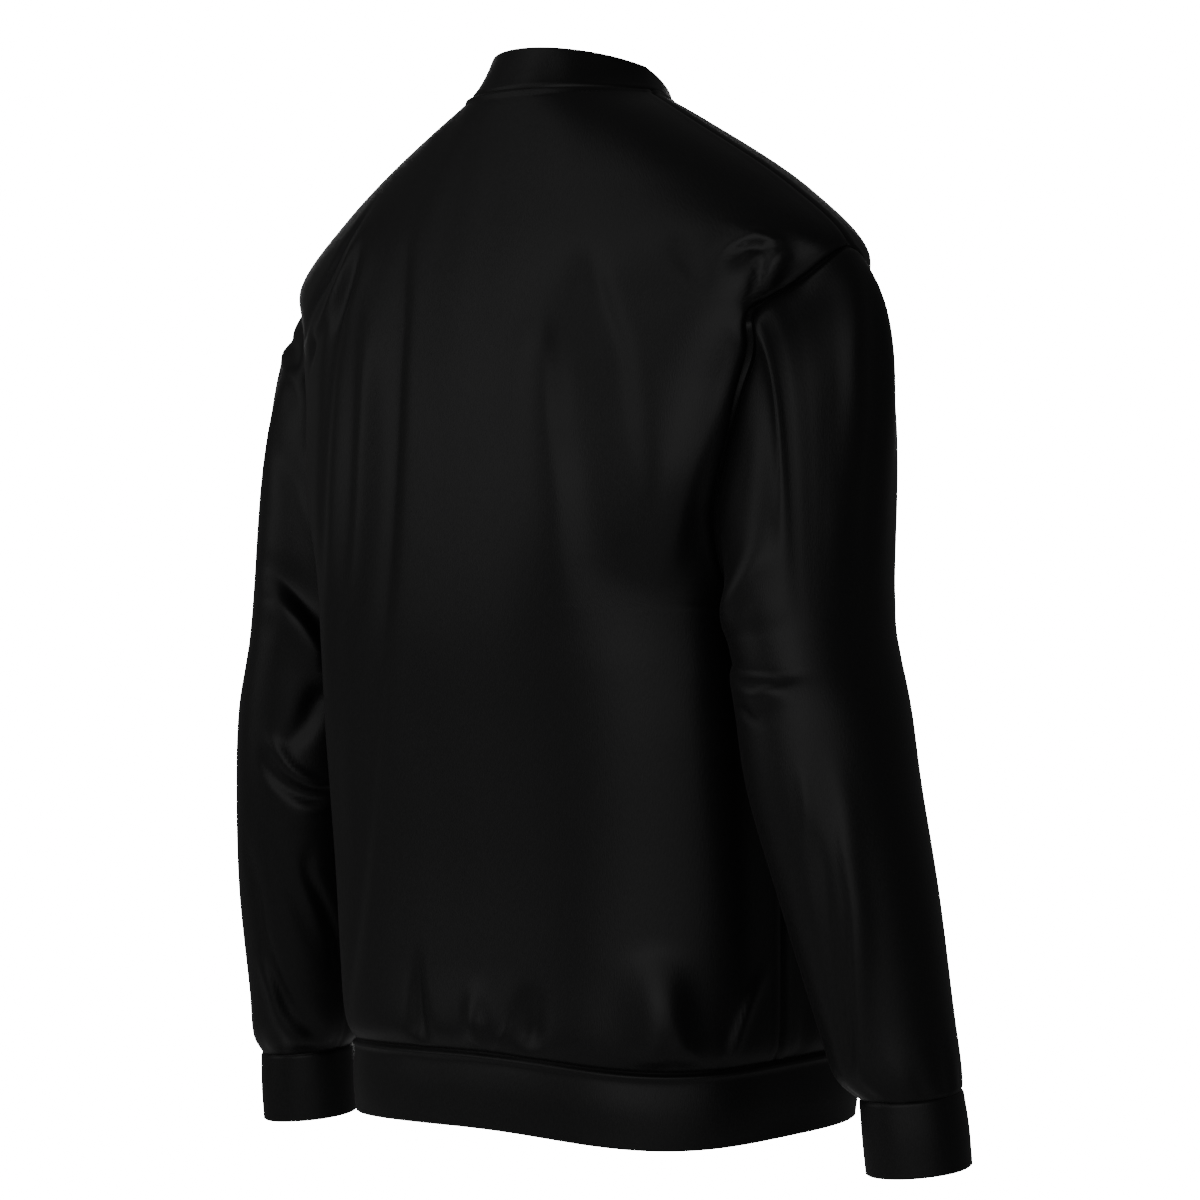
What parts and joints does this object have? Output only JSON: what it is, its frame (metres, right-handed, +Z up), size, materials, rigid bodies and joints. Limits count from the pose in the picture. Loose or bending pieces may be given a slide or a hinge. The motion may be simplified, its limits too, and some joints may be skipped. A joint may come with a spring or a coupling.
{
  "type": "bomber jacket",
  "caption": "Hollow zip-front bomber jacket with stand collar, long set-in sleeves, plain cuffs and hem band, filled out as worn with its arms hanging.",
  "frame": {"origin": "on the axis of the neck opening, level with the neck seam at the centre back, where the wearer's neck and shoulders hold the jacket", "axes": "+Z up, the front with its zip faces -Y, and the wearer's left sleeve lies towards +X"},
  "size_m": [0.6474, 0.3014, 0.7173],
  "materials": {
    "cloth": "smooth, softly satin",
    "tape": "matte",
    "coil": "satin",
    "metal": "satin"
  },
  "bodies": {
    "jacket": {"back": "cloth", "front_left": "cloth", "front_right": "cloth", "sleeve_left": "cloth", "sleeve_right": "cloth", "cuff_left": "cloth", "cuff_right": "cloth", "collar": "cloth", "hem_band": "cloth", "zip_tape_left": "tape", "zip_tape_right": "tape", "zip_coil": "coil", "zip_slider": "metal"},
    "pull": {"zip_pull": "metal"}
  },
  "joints": [
    {"name": "pull_swing", "type": "hinge", "parent": "jacket", "child": "pull", "pos_m": [0, -0.07395, -0.01123], "axis": [-1, 0, 0], "range_deg": [0, 150]}
  ]
}
